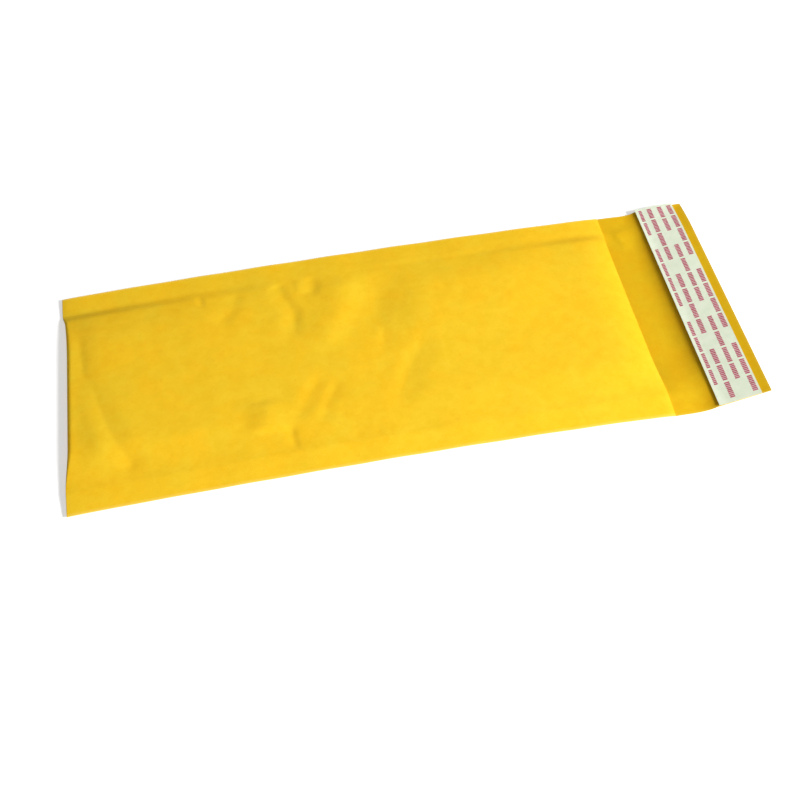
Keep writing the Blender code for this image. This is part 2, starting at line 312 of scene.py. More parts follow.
def seam_height(along, y):
    """The height of a seam's underside over the floor."""
    bow = np.where(y > 0, FAR_SEAM_BOW, NEAR_SEAM_BOW)
    wave = np.sin(along * POCKET_LENGTH / SEAM_WAVE_LENGTH * 2 * math.pi + np.sign(y))
    late = along * (1 - along**TILT_HOLD)
    far_tilt = FAR_TILT_AT_FOLD * (1 - along) + FAR_TILT_LATE * late
    tilt = np.where(y > 0, far_tilt, NEAR_SEAM_TILT)
    tilted = tilt * np.clip((HALF_WIDTH - np.abs(y)) / SEAM_WIDTH, 0.0, 1.0)
    return SEAM_LIFT + tilted + (bow + SEAM_WAVE_HEIGHT * wave) * bow_share(along, y)


def back_under(along, y):
    """The underside of the back panel: flat on the floor, rising to the seams."""
    return seam_height(along, y) * (1 - padding_share(y))


def front_over(along, y, dented=True):
    """The top of the front panel, as pressed flat or with its crown and its dents."""
    share = padding_share(y)
    seam_top = seam_height(along, y) + SEAM_THICKNESS
    top = seam_top + (full_thickness(along) - seam_top) * share
    if not dented:
        return top
    along, y = np.broadcast_arrays(along, y)
    start_x = fold_centre_x(y)
    x = start_x + (front_end_x(y) - start_x) * along
    ends = ease(along * END_PARTS) * ease((1 - along) * END_PARTS)
    crown = CROWN * (1 - (y / HALF_WIDTH) ** 2) * ends
    uneven = unevenness(x, y, UNEVEN_HEIGHT, UNEVEN_LENGTH, UNEVEN_SEED)
    dimples = unevenness(x, y, DIMPLE_HEIGHT, DIMPLE_LENGTH, DIMPLE_SEED)
    dented_share = ease((HALF_WIDTH - np.abs(y) - SEAM_WIDTH) / DENT_EDGE)
    return top + (crown + (uneven + dimples) * ends) * share + handling(x, y) * dented_share


print(f"{len(CREASES)} creases and {len(RIDGES)} ridges in the front panel")

# %% [markdown]
# ## The rounded bottom fold
#
# The paper turns round the padding at the bottom in a half circle, but lies flat and sharp where the
# seams run into the fold. The padding uses up paper, so the round part draws back a little from the
# end, and the flat seams stand out beyond it as small ears.


# %% The bottom fold
def fold_centre_x(y):
    """The middle of the rounded fold, where the two panels start."""
    setback = graded(FOLD_SETBACK_NEAR, FOLD_SETBACK_FAR, y) * padding_share(y)
    half = (front_over(0.0, y, False) - back_under(0.0, y)) / 2
    return FOLD_X + setback + half


def fold_points(y, angle, inset, top, bottom):
    """Points of the fold at an angle of 90 degrees on top to -90 below, inside by an inset."""
    outer_half = (front_over(0.0, y, False) - back_under(0.0, y)) / 2
    reach = np.where(top - bottom < TINY, 0.0, np.maximum(outer_half - inset, 0.0))
    x = fold_centre_x(y) - reach * np.cos(angle)
    z = (top + bottom) / 2 + (top - bottom) / 2 * np.sin(angle)
    return np.stack([x, y, z], axis=-1)


def panel_points(along, y, height, end_x):
    """A grid of points on a panel: one row for each share of its length."""
    along, y = np.meshgrid(along, y, indexing="ij")
    start_x = fold_centre_x(y)
    x = start_x + (end_x(y) - start_x) * along
    return np.stack([x, drawn_in(along, y), height(along, y)], axis=-1)


def front_end_x(y):
    """The cut edge of the front panel, which the padding draws back in the middle."""
    return MOUTH_X - MOUTH_BOW * padding_share(y)


def back_end_x(y):
    """The line at the mouth, where the back panel runs on as the flap."""
    return np.full_like(y, MOUTH_X)


print(f"the fold's ears stand out {FOLD_SETBACK_FAR * 1000:.1f} mm at the far side")

# %% [markdown]
# ## The flap
#
# The back panel runs on past the mouth. It stays low for 3 mm at the near side and for 8 mm at the far
# side, curls up more and more steeply to the stiff liner, and then runs straight to its free edge. That
# edge is higher at the near side than at the far one, where its corner droops. The flap's two sides
# come down from the height of the seams before they reach the liner, and a low pinched ridge starts
# near the far corner of the mouth.

# %% The flap's form
FLAP_BEND_NEAR = 0.0030
FLAP_BEND_FAR = 0.0085
CURL_RISE_NEAR = 0.0026
CURL_RISE_FAR = 0.0019
TIP_RISE_NEAR = 0.0078
TIP_RISE_FAR = 0.0048
CORNER_DROOP = 0.0016
CORNER_REACH = 0.020
CURL_POWER = 3.4
PINCH_START = 0.0015
# A ridge, described in the same way as the creases
PINCH = (((254.2, 112), (256.6, 105), (259.5, 97)), 0.50, 2.6, 14.0, 0.6, 0.35, 0.5)


def flap_rise(run, y):
    """How far the flap has risen at a distance from the mouth."""
    curl = graded(CURL_RISE_NEAR, CURL_RISE_FAR, y)
    tip = graded(TIP_RISE_NEAR, TIP_RISE_FAR, y)
    bend = graded(FLAP_BEND_NEAR, FLAP_BEND_FAR, y)
    curled = np.clip((run - bend) / (MOUTH_TO_LINER - bend), 0.0, 1.0)
    straight = np.maximum(0.0, run - MOUTH_TO_LINER) / (FLAP_LENGTH - MOUTH_TO_LINER)
    from_corner = np.hypot(FLAP_LENGTH - run, HALF_WIDTH - y) / CORNER_REACH
    droop = CORNER_DROOP * np.clip(1 - from_corner, 0.0, 1.0) ** 2
    return curl * curled**CURL_POWER + (tip - curl) * straight - droop


def flap_under(run, y):
    """The underside of the flap at a distance from the mouth."""
    run, y = np.broadcast_arrays(run, y)
    at_mouth = back_under(1.0, y) * (1 - np.clip(run / MOUTH_TO_LINER, 0.0, 1.0) ** 2)
    from_fold = (POCKET_LENGTH + run) / MILLIMETRE
    pinched = fold_of_paper(from_fold, (y + HALF_WIDTH) / MILLIMETRE, *PINCH) * MILLIMETRE
    return np.maximum(0.0, at_mouth + flap_rise(run, y) + pinched * ease(run / PINCH_START))


def flap_points(runs, y, height):
    """A grid of points over the flap, at a height over its underside."""
    run, y = np.meshgrid(runs, y, indexing="ij")
    return np.stack([MOUTH_X + run, y, flap_under(run, y) + height], axis=-1)


print(f"the flap's free edge is {flap_rise(FLAP_LENGTH, 0.0) * 1000:.1f} mm up in its middle")

# %% [markdown]
# ## A mesh in the making
#
# The sheet has an outer skin, an inner skin and cut edges, and they must close up without a gap. This
# helper keeps one vertex for each place, so that surfaces made one by one share their borders.


# %% A helper that sews surfaces together
SHARP_ANGLE = math.radians(38)


class Skin:
    """Surfaces made one by one, which share their corner points."""

    def __init__(self):
        self.points = []
        self.faces = []
        self.inner_side = []
        self.corners = {}

    def corner(self, point):
        """The number of the vertex at a place, which is made when it is new."""
        key = tuple(np.round(point / TINY).astype(int))
        if key not in self.corners:
            self.corners[key] = len(self.points)
            self.points.append(tuple(point))
        return self.corners[key]

    def sheet(self, rows, inner=False):
        """Faces between neighbouring rows of points."""
        index = [[self.corner(point) for point in row] for row in rows]
        for row, after in zip(index, index[1:]):
            for i in range(len(row) - 1):
                self.face((row[i], row[i + 1], after[i + 1], after[i]), inner)

    def face(self, corners, inner=False):
        """A face, unless too many of its corners fall together."""
        kept = list(dict.fromkeys(corners))
        if len(kept) > 2:
            self.faces.append(kept)
            self.inner_side.append(float(inner))

    def polygon(self, points):
        """One face round a closed line of points."""
        self.face([self.corner(np.asarray(point)) for point in points])

    def mesh(self, name):
        """The closed mesh, with its faces pointing out."""
        data = bpy.data.meshes.new(name)
        data.from_pydata(self.points, [], self.faces)
        inner = data.attributes.new("inner_side", "FLOAT", "FACE")
        inner.data.foreach_set("value", self.inner_side)
        work = bmesh.new()
        work.from_mesh(data)
        bmesh.ops.recalc_face_normals(work, faces=work.faces)
        open_edges = sum(not edge.is_manifold for edge in work.edges)
        work.to_mesh(data)
        work.free()
        data.shade_smooth()
        data.set_sharp_from_angle(angle=SHARP_ANGLE)
        print(f"{name}: {len(data.polygons)} faces, {open_edges} open edges")
        return data


def closed_strip(name, one_side, other_side):
    """A closed mesh between two grids of points."""
    skin = Skin()
    skin.sheet(one_side)
    skin.sheet(other_side)
    for end in (0, -1):
        skin.sheet([one_side[end], other_side[end]])
        skin.sheet([one_side[:, end], other_side[:, end]])
    return skin.mesh(name)


def show(name, data):
    """An object at the origin for a mesh that already has its place."""
    thing = bpy.data.objects.new(name, data)
    bpy.context.scene.collection.objects.link(thing)
    return thing


print(f"the helpers are ready; an edge sharper than {math.degrees(SHARP_ANGLE):.0f} degrees stays crisp")

# %% [markdown]
# ## The rows of points
#
# The grid is fine where the paper bends and coarser in the flat middle. A step is 1.0 to 1.4 mm, which
# is enough for a crease and keeps the sheet under 200,000 triangles.

# %% Grid stations
ALONG_STEP = 0.0011
ACROSS_STEP = 0.0014
FINE_STEP = 0.0010
FOLD_STEPS = 12
FLAP_STEP = 0.0010


def stations(*stretches):
    """Stations over stretches given as (start, end, step), joined without doubles."""
    places = []
    for start, end, step in stretches:
        count = max(1, round((end - start) / step))
        places += list(np.linspace(start, end, count + 1)[:-1])
    return np.array(places + [stretches[-1][1]])


seam_end = -HALF_WIDTH + SEAM_WIDTH
shoulder_end = seam_end + NEAR_SHOULDER
half_side = stations(
    (-HALF_WIDTH, seam_end, ACROSS_STEP),
    (seam_end, shoulder_end, FINE_STEP),
    (shoulder_end, 0.0, ACROSS_STEP),
)
SIDE_STATIONS = np.concatenate([half_side, -half_side[-2::-1]])
SHARES = stations(
    (0.0, FOLD_RUN, FINE_STEP),
    (FOLD_RUN, POCKET_LENGTH - MOUTH_RUN, ALONG_STEP),
    (POCKET_LENGTH - MOUTH_RUN, POCKET_LENGTH, FINE_STEP),
) / POCKET_LENGTH
SHARES[-1] = 1.0
FOLD_ANGLES = [math.pi * (0.5 - i / FOLD_STEPS) for i in range(1, FOLD_STEPS)]
FLAP_RUNS = stations((0.0, FLAP_LENGTH, FLAP_STEP))[1:]
print(f"{len(SIDE_STATIONS)} stations across, {len(SHARES)} along the pocket")

# %% [markdown]
# ## The kraft envelope
#
# The front panel, the bottom fold, the back panel and the flap are rows of one long strip, as the sheet
# is before it is folded. The inner skin follows at the paper's thickness and ends where the seams start,
# because there the two panels are sealed together.


# %% The kraft envelope's mesh
# The paper is made paler within this reach of the long sides and the flap's free edge
PALE_EDGE_REACH = 0.0012


def inside_heights(along, y):
    """The inner faces of the two panels, which meet where the seam starts."""
    low = back_under(along, y) + PAPER
    high = front_over(along, y) - PAPER
    meet = padding_share(y) < TINY
    return np.where(meet, (low + high) / 2, low), np.where(meet, (low + high) / 2, high)


def fold_rows(y, inset, front, back):
    """The rows of the rounded fold, between the first rows of the two panels."""
    top = front[0, :, 2]
    bottom = back[0, :, 2]
    return [fold_points(y, angle, inset, top, bottom) for angle in FOLD_ANGLES]


def close_side(skin, side, front, fold, back, over, under):
    """The cut edges along one side: the panels, the end of the fold, and the flap."""
    lower = back[:, side]
    between = lower + PAPER * UP
    skin.sheet([front[:, side], between])
    skin.sheet([between, lower])
    skin.polygon([front[0, side], *[row[side] for row in fold], lower[0], between[0]])
    skin.sheet([[row[side] for row in over], [lower[-1], *[row[side] for row in under]]])


def build_envelope():
    """The folded sheet with its thickness, its open mouth and its flap."""
    skin = Skin()
    y = SIDE_STATIONS
    unsealed = np.flatnonzero(np.abs(y) <= HALF_WIDTH - SEAM_WIDTH + TINY)
    first = unsealed[0]
    last = unsealed[-1]
    inner = y[unsealed]

    front = panel_points(SHARES, y, front_over, front_end_x)
    back = panel_points(SHARES, y, back_under, back_end_x)
    fold = fold_rows(y, 0.0, front, back)
    under = flap_points(FLAP_RUNS, y, 0.0)
    skin.sheet([*front[::-1], *fold, *back, *under])

    front_in = panel_points(SHARES, inner, lambda a, v: inside_heights(a, v)[1], front_end_x)
    back_in = panel_points(SHARES, inner, lambda a, v: inside_heights(a, v)[0], back_end_x)
    fold_in = fold_rows(inner, PAPER, front_in, back_in)
    skin.sheet([*front_in[::-1], *fold_in, *back_in], inner=True)

    over_mouth = back[-1] + PAPER * UP
    over_mouth[first : last + 1] = back_in[-1]
    over = [over_mouth, *flap_points(FLAP_RUNS, y, PAPER)]
    skin.sheet(over, inner=True)
    skin.sheet([over[-1], under[-1]])

    skin.sheet([front[-1, first : last + 1], front_in[-1]])
    skin.sheet([front[-1, : first + 1], over_mouth[: first + 1]])
    skin.sheet([front[-1, last:], over_mouth[last:]])
    for side in (0, -1):
        close_side(skin, side, front, fold, back, over, under)
    return skin.mesh("kraft_paper")


def mark_pale_edges(data):
    """Note how near each point is to a long side or the free edge, where the paper is made paler."""
    places = np.array([tuple(point.co) for point in data.vertices])
    edge = np.where(places[:, 1] > 0, HALF_WIDTH, -HALF_WIDTH)
    from_side = np.abs(drawn_in((places[:, 0] - FOLD_X) / POCKET_LENGTH, edge) - places[:, 1])
    from_end = FREE_EDGE_X - places[:, 0]
    pale_edge = 1 - np.clip(np.minimum(from_side, from_end) / PALE_EDGE_REACH, 0.0, 1.0)
    data.attributes.new("pale_edge", "FLOAT", "POINT").data.foreach_set("value", pale_edge)


envelope = show("kraft_paper", build_envelope())
mark_pale_edges(envelope.data)
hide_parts("kraft_envelope")
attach(envelope, "root")

# %% [markdown]
# ## Paper as a material
#
# Kraft paper isn't one flat yellow. It has soft clouds where the fibres lie thicker, fine fibres that run
# mostly one way, and a few specks. One node group makes these as plain masks and a height, so that the
# golden paper and the white liner can both use it, each with its own colours and its own relief.


# %% A node group for paper
# Noise keeps near the middle of its range, so these parts of it are stretched from 0 to 1
CLOUD_RANGE = (0.36, 0.64)
SPECK_RANGE = (0.70, 0.76)
NOISE_RANGE = (0.35, 0.65)
# The detail, the roughness and the distortion of the noise behind each mask
CLOUD_NOISE = (4.0, 0.62)
FIBRE_NOISE = (3.0, 0.55, 0.6)
SPECK_NOISE = (1.0,)
# How much of the paper's height comes from its clouds
CLOUD_HEIGHT = 0.6
PAPER_SCALES = {
    "Cloud Scale": 260.0,
    "Fibre Scale": 900.0,
    "Fibre Stretch": 6.0,
    "Speck Scale": 420.0,
}


def new_tree(kind, name, inputs, outputs):
    """A node tree with named sockets: the tree, what it is given and what it returns."""
    tree = bpy.data.node_groups.new(name, kind)
    for way, sockets in (("OUTPUT", outputs), ("INPUT", inputs)):
        for label, socket in sockets.items():
            tree.interface.new_socket(label, in_out=way, socket_type="NodeSocket" + socket)
    given = tree.nodes.new("NodeGroupInput")
    result = tree.nodes.new("NodeGroupOutput")
    return tree, given.outputs, result.inputs


def node(tree, kind, links=(), **values):
    """A node with some values set, and its inputs linked: links are (input, source or value)."""
    made = tree.nodes.new(kind)
    for label, value in values.items():
        setattr(made, label, value)
    for label, source in links:
        if hasattr(source, "is_output"):
            tree.links.new(source, made.inputs[label])
        else:
            made.inputs[label].default_value = source
    return made


def maths(tree, operation, *values):
    """A math node's result, from numbers or sources."""
    links = list(enumerate(values))
    return node(tree, "ShaderNodeMath", links, operation=operation).outputs["Value"]


def vector(tree, x=0.0, y=0.0, z=0.0):
    """A vector from three numbers or sources."""
    links = [("X", x), ("Y", y), ("Z", z)]
    return node(tree, "ShaderNodeCombineXYZ", links).outputs["Vector"]


def ramp(tree, source, low, high, start=0.0, end=1.0):
    """A value stretched so that low becomes start and high becomes end."""
    links = [
        ("Value", source),
        ("From Min", low),
        ("From Max", high),
        ("To Min", start),
        ("To Max", end),
    ]
    return node(tree, "ShaderNodeMapRange", links).outputs["Result"]


def soft_noise(tree, place, scale, detail=2.0, roughness=0.5, distortion=0.0):
    """Smooth noise at a place."""
    links = [
        ("Vector", place),
        ("Scale", scale),
        ("Detail", detail),
        ("Roughness", roughness),
        ("Distortion", distortion),
    ]
    return node(tree, "ShaderNodeTexNoise", links).outputs["Fac"]


def paper_group():
    """Clouds, fibres and specks of paper, and a height that joins them."""
    tree, given, result = new_tree(
        "ShaderNodeTree",
        "paper_fibres",
        {"Vector": "Vector", **{label: "Float" for label in PAPER_SCALES}},
        {"Clouds": "Float", "Fibres": "Float", "Specks": "Float", "Height": "Float"},
    )
    place = given["Vector"]
    links = [(0, place), (1, vector(tree, 1.0, given["Fibre Stretch"], 1.0))]
    stretched = node(tree, "ShaderNodeVectorMath", links, operation="MULTIPLY").outputs["Vector"]
    clouds = soft_noise(tree, place, given["Cloud Scale"], *CLOUD_NOISE)
    fibres = soft_noise(tree, stretched, given["Fibre Scale"], *FIBRE_NOISE)
    specks = soft_noise(tree, place, given["Speck Scale"], *SPECK_NOISE)
    tree.links.new(ramp(tree, clouds, *CLOUD_RANGE), result["Clouds"])
    tree.links.new(ramp(tree, fibres, *NOISE_RANGE), result["Fibres"])
    tree.links.new(ramp(tree, specks, *SPECK_RANGE), result["Specks"])
    tree.links.new(maths(tree, "MULTIPLY_ADD", clouds, CLOUD_HEIGHT, fibres), result["Height"])
    return tree


PAPER_FIBRES = paper_group()
print("group:", PAPER_FIBRES.name)

# %% [markdown]
# ## Golden kraft
#
# The colour swings a little between a deeper and a lighter gold in small clouds, and between a warmer
# and a cooler one in wider patches. The long sides and the flap's free edge are paler, within about a
# millimetre of the edge. The inner side is darker: partly the paper's own deeper tone, and partly
# painted shade on the flap. The surface is nearly matt: it spreads the light and has a faint shine,
# which is the same all over and so is set on the shader itself.


# %% The golden kraft's material
GOLD_DEEP = (0.875, 0.520, 0.008, 1.0)
GOLD_LIGHT = (0.915, 0.565, 0.014, 1.0)
GOLD_FIBRE = (0.95, 0.650, 0.050, 1.0)
GOLD_SPECK = (0.78, 0.400, 0.010, 1.0)
# The paler colour mixed in near the long sides and the flap's free edge
GOLD_PALE_EDGE = (0.98, 0.720, 0.160, 1.0)
PATCH_WARM = (1.02, 0.965, 0.75, 1.0)
PATCH_COOL = (0.98, 1.015, 1.25, 1.0)
PATCH_SCALE = 75.0
# Darkens the inner side: partly its own deeper tone, partly painted shade on the flap
INNER_TONE_AND_SHADE = (0.80, 0.76, 0.35, 1.0)
FIBRE_SHARE = 0.30
SPECK_SHARE = 0.20
PALE_EDGE_SHARE = 0.45
GOLD_SHINE = 0.10
GOLD_ROUGHNESS = (0.68, 0.78)
GOLD_RELIEF = (0.35, 0.00012)


def new_material(name):
    """A material, its tree and its shader."""
    material = bpy.data.materials.new(name)
    material.use_nodes = True
    return material, material.node_tree, material.node_tree.nodes["Principled BSDF"]


def blend(tree, share, low, high, kind="MIX"):
    """A colour between two colours, or a colour multiplied by another."""
    # The Mix node's colours are its inputs 6 and 7, and their mix is its output 2
    links = [(0, share), (6, low), (7, high)]
    return node(tree, "ShaderNodeMix", links, data_type="RGBA", blend_type=kind).outputs[2]


def laid_over(tree, mask, share, under, over):
    """A colour laid over another where a mask is, at a share of its full strength."""
    return blend(tree, maths(tree, "MULTIPLY", mask, share), under, over)


def object_place(tree):
    """The place on the object's own coordinates."""
    return node(tree, "ShaderNodeTexCoord").outputs["Object"]


def paper_at(tree, place):
    """The paper group, placed in a material: its masks and its height."""
    links = [("Vector", place), *PAPER_SCALES.items()]
    return node(tree, "ShaderNodeGroup", links, node_tree=PAPER_FIBRES).outputs


def add_relief(tree, shader, height, strength, depth):
    """A fine relief on a material."""
    links = [("Strength", strength), ("Distance", depth), ("Height", height)]
    bump = node(tree, "ShaderNodeBump", links)
    tree.links.new(bump.outputs["Normal"], shader.inputs["Normal"])


def golden_kraft():
    """Dyed kraft paper with clouds, fibres and a few darker specks."""
    material, tree, shader = new_material("golden_kraft")
    place = object_place(tree)
    paper = paper_at(tree, place)
    pale_edge = node(tree, "ShaderNodeAttribute", attribute_name="pale_edge").outputs["Fac"]
    inner = node(tree, "ShaderNodeAttribute", attribute_name="inner_side").outputs["Fac"]
    clouded = blend(tree, paper["Clouds"], GOLD_DEEP, GOLD_LIGHT)
    patches = ramp(tree, soft_noise(tree, place, PATCH_SCALE), *NOISE_RANGE)
    patchy = blend(tree, patches, PATCH_WARM, PATCH_COOL)
    base = blend(tree, 1.0, clouded, patchy, "MULTIPLY")
    fibred = laid_over(tree, paper["Fibres"], FIBRE_SHARE, base, GOLD_FIBRE)
    specked = laid_over(tree, paper["Specks"], SPECK_SHARE, fibred, GOLD_SPECK)
    # Paler near the long sides and the flap's free edge
    pale_edged = laid_over(tree, pale_edge, PALE_EDGE_SHARE, specked, GOLD_PALE_EDGE)
    # The inner side is darkened here: partly its own deeper tone, partly painted shade on the flap
    toned_and_shaded = blend(tree, inner, pale_edged, INNER_TONE_AND_SHADE, "MULTIPLY")
    tree.links.new(toned_and_shaded, shader.inputs["Base Color"])
    rough = ramp(tree, paper["Clouds"], 0.0, 1.0, *GOLD_ROUGHNESS)
    tree.links.new(rough, shader.inputs["Roughness"])
    shader.inputs["Specular IOR Level"].default_value = GOLD_SHINE
    add_relief(tree, shader, paper["Height"], *GOLD_RELIEF)
    return material


envelope.data.materials.append(golden_kraft())
print(f"golden kraft: roughness from {GOLD_ROUGHNESS[0]} to {GOLD_ROUGHNESS[1]}, shine {GOLD_SHINE}")

# %% [markdown]
# ## Bubble film
#
# The padding is a web of film with air bubbles, laid flat, folded once and laminated to the paper. It is
# made the same way here. A Geometry Nodes tree sets domes on a lattice of staggered rows, as flat as
# the film on its roll. Then a short function bends the flat web round the inside of the mailer, where
# the bubbles are squeezed wherever the pocket is thinner. The tree is only a tool: its result is kept as
# a plain mesh.


# %% A node tree that fills a field with bubbles
ROW_RATIO = math.sqrt(3) / 2
ROW_SHIFT = 0.5
DOME_SEGMENTS = 14
DOME_RINGS = 8
DOME_FULLNESS = 0.55
BUBBLE_SWING = (0.86, 1.0)


def moved(tree, shape, place):
    """A shape whose points lie at other places."""
    links = [("Geometry", shape), ("Position", place)]
    return node(tree, "GeometryNodeSetPosition", links).outputs["Geometry"]


def random_between(tree, low, high, seed):
    """A random number for each copy. Inputs 2 and 3 and output 1 are the ones for single numbers."""
    links = [(2, low), (3, high), ("Seed", seed)]
    return node(tree, "FunctionNodeRandomValue", links, data_type="FLOAT").outputs[1]


def copy_on_points(tree, points, shape, scale, material, result):
    """Copies of a shape on points, made real and dressed, as the tree's result."""
    links = [("Points", points), ("Instance", shape), ("Scale", scale)]
    copies = node(tree, "GeometryNodeInstanceOnPoints", links).outputs["Instances"]
    real = node(tree, "GeometryNodeRealizeInstances", [("Geometry", copies)]).outputs["Geometry"]
    dressed = node(tree, "GeometryNodeSetMaterial", [("Geometry", real), ("Material", material)])
    tree.links.new(dressed.outputs["Geometry"], result["Geometry"])


def lattice(tree, given):
    """Points in rows, where every second row is shifted by half a pitch."""
    pitch = given["Pitch"]
    per_row = given["Bubbles per Row"]
    total = maths(tree, "MULTIPLY", given["Rows"], per_row)
    points = node(tree, "GeometryNodeMeshLine", [("Count", total), ("Offset", (0.0, 0.0, 0.0))])
    index = node(tree, "GeometryNodeInputIndex").outputs["Index"]
    row = maths(tree, "FLOOR", maths(tree, "DIVIDE", index, per_row))
    place = maths(tree, "FLOORED_MODULO", index, per_row)
    shift = maths(tree, "MULTIPLY", maths(tree, "MODULO", row, 2.0), ROW_SHIFT)
    along = maths(tree, "MULTIPLY", maths(tree, "MULTIPLY", row, pitch), ROW_RATIO)
    across = maths(tree, "MULTIPLY", maths(tree, "ADD", place, shift), pitch)
    return moved(tree, points.outputs["Mesh"], vector(tree, along, across))


def dome(tree, given):
    """One bubble: the upper half of a ball, with a flattened top."""
    links = [("Segments", DOME_SEGMENTS), ("Rings", DOME_RINGS), ("Radius", 1.0)]
    ball = node(tree, "GeometryNodeMeshUVSphere", links)
    spot = node(tree, "GeometryNodeInputPosition").outputs["Position"]
    parts = node(tree, "ShaderNodeSeparateXYZ", [("Vector", spot)]).outputs
    upper = maths(tree, "POWER", maths(tree, "MAXIMUM", parts["Z"], 0.0), DOME_FULLNESS)
    x = maths(tree, "MULTIPLY", parts["X"], given["Radius"])
    y = maths(tree, "MULTIPLY", parts["Y"], given["Radius"])
    z = maths(tree, "MULTIPLY", upper, given["Height"])
    return moved(tree, ball.outputs["Mesh"], vector(tree, x, y, z))


def bubble_tree():
    """Domes in staggered rows over a field that starts at the origin."""
    tree, given, result = new_tree(
        "GeometryNodeTree",
        "bubble_field",
        {
            "Rows": "Int",
            "Bubbles per Row": "Int",
            "Pitch": "Float",
            "Radius": "Float",
            "Height": "Float",
            "Seed": "Int",
            "Material": "Material",
        },
        {"Geometry": "Geometry"},
    )
    filled = random_between(tree, *BUBBLE_SWING, given["Seed"])
    scale = vector(tree, 1.0, 1.0, filled)
    points = lattice(tree, given)
    copy_on_points(tree, points, dome(tree, given), scale, given["Material"], result)
    return tree


def run_tree(name, tree, values):
    """A plain mesh made by a node tree, with its inputs given by name."""
    carrier = show(name + "_carrier", bpy.data.meshes.new(name + "_carrier"))
    modifier = carrier.modifiers.new(name, "NODES")
    modifier.node_group = tree
    for item in tree.interface.items_tree:
        if item.in_out == "INPUT":
            modifier[item.identifier] = values[item.name]
    made = carrier.evaluated_get(bpy.context.evaluated_depsgraph_get())
    data = bpy.data.meshes.new_from_object(made)
    data.name = name
    bpy.data.objects.remove(carrier, do_unlink=True)
    return data


BUBBLE_FIELD = bubble_tree()
print("tree:", BUBBLE_FIELD.name)

# %% [markdown]
# ## The film's material
#
# The film is clear polyethylene with a milky haze that is stronger in some places. It lets most light
# through and has a sharp, bright shine. The adhesive is made in the same way, yellower and denser.


# %% Film and adhesive materials
FILM_COLOUR = (0.84, 0.88, 0.90, 1.0)
FILM_ROUGHNESS = 0.16
FILM_OPACITY = 0.42
ADHESIVE_COLOUR = (0.82, 0.78, 0.62, 1.0)
ADHESIVE_ROUGHNESS = 0.22
ADHESIVE_OPACITY = 0.60
HAZE_SCALE = 220.0
HAZE_SWING = 0.3


def clear_plastic(name, colour, roughness, opacity):
    """A clear glossy plastic that is hazier in some places."""
    material, tree, shader = new_material(name)
    haze = soft_noise(tree, object_place(tree), HAZE_SCALE)
    thin = opacity * (1 - HAZE_SWING)
    thick = opacity * (1 + HAZE_SWING)
    tree.links.new(ramp(tree, haze, 0.0, 1.0, thin, thick), shader.inputs["Alpha"])
    shader.inputs["Base Color"].default_value = colour
    shader.inputs["Roughness"].default_value = roughness
    return material


FILM = clear_plastic("bubble_film", FILM_COLOUR, FILM_ROUGHNESS, FILM_OPACITY)
ADHESIVE = clear_plastic("clear_adhesive", ADHESIVE_COLOUR, ADHESIVE_ROUGHNESS, ADHESIVE_OPACITY)
print(f"opacity of the film {FILM_OPACITY}, of the adhesive {ADHESIVE_OPACITY}")

# %% [markdown]
# ## Folding the film into the mailer
#
# A place in the flat web has a distance from the mouth, a place across, and a depth from the paper to
# the bubbles' tops. The function below finds where that place lies in the folded mailer: on the
# front panel, round the bottom fold, or on the back panel. Where a crease leaves little room, each side
# keeps its share of it, so that no film passes through another.

# %% The bubble lining
LINING_MARGIN = 0.0015
LINING_SETBACK = 0.0015
BUBBLE_HEIGHT = 0.0020
BUBBLE_PITCH = 0.0112
BUBBLE_RADIUS = 0.0047
FILM_GAP = 0.00008
FILM_SHARE = 0.05
# The share of the room that each side of the lining keeps, and the most that a gap takes
SIDE_KEEPS = 0.3
GAP_TAKES = 0.1
# The flat bubbles are one unit high, and folding turns that into a share of the room
FLAT_HEIGHT = 1.0
BUBBLE_SEED = 5
FILM_STEP = 0.0020
NOSE_LENGTH = 0.0062
LINING_HALF = HALF_WIDTH - SEAM_WIDTH - LINING_MARGIN
LINING_SIDE = POCKET_LENGTH - LINING_SETBACK
LINING_LENGTH = 2 * LINING_SIDE + NOSE_LENGTH


def lining_heights(along, y):
    """The heights of the film's outer and inner faces: back outer, back inner, front inner, outer."""
    low, high = inside_heights(along, y)
    room = high - low
    middle = (back_under(along, y) + front_over(along, y, False)) / 2
    middle = np.clip(middle, low + SIDE_KEEPS * room, high - SIDE_KEEPS * room)
    gap = np.minimum(POCKET_GAP / 2, GAP_TAKES * room)
    film_gap = np.minimum(FILM_GAP, GAP_TAKES * room)
    return low + film_gap, middle - gap, middle + gap, high - film_gap


def film_points(run, y, depth):
    """Where places of the flat web lie in the mailer: run from the mouth, depth from 0 to 1."""
    on_front = run < LINING_SIDE
    on_back = run > LINING_SIDE + NOSE_LENGTH
    along = np.where(on_front, 1 - run / LINING_SIDE, (run - LINING_SIDE - NOSE_LENGTH) / LINING_SIDE)
    along = np.where(on_front | on_back, along, 0.0)
    back_outer, back_inner, front_inner, front_outer = lining_heights(along, y)
    front_z = front_outer + (front_inner - front_outer) * depth
    back_z = back_outer + (back_inner - back_outer) * depth
    start_x = fold_centre_x(y)
    x = start_x + (front_end_x(y) - LINING_SETBACK - start_x) * along
    flat = np.stack([x, drawn_in(along, y), np.where(on_front, front_z, back_z)], axis=-1)
    angle = math.pi * (0.5 - np.clip((run - LINING_SIDE) / NOSE_LENGTH, 0.0, 1.0))
    inset = PAPER + FILM_GAP + BUBBLE_HEIGHT * depth
    round_fold = fold_points(y, angle, inset, front_z, back_z)
    return np.where((on_front | on_back)[..., None], flat, round_fold)


def base_film():
    """The thin base sheet of the film, as a closed strip from mouth to mouth."""
    runs = stations((0.0, LINING_LENGTH, FILM_STEP))
    inner = SIDE_STATIONS[np.abs(SIDE_STATIONS) < LINING_HALF]
    run, y = np.meshgrid(runs, [-LINING_HALF, *inner, LINING_HALF], indexing="ij")
    outside = film_points(run, y, np.zeros_like(run))
    inside = film_points(run, y, np.full_like(run, FILM_SHARE))
    return closed_strip("base_film", outside, inside)


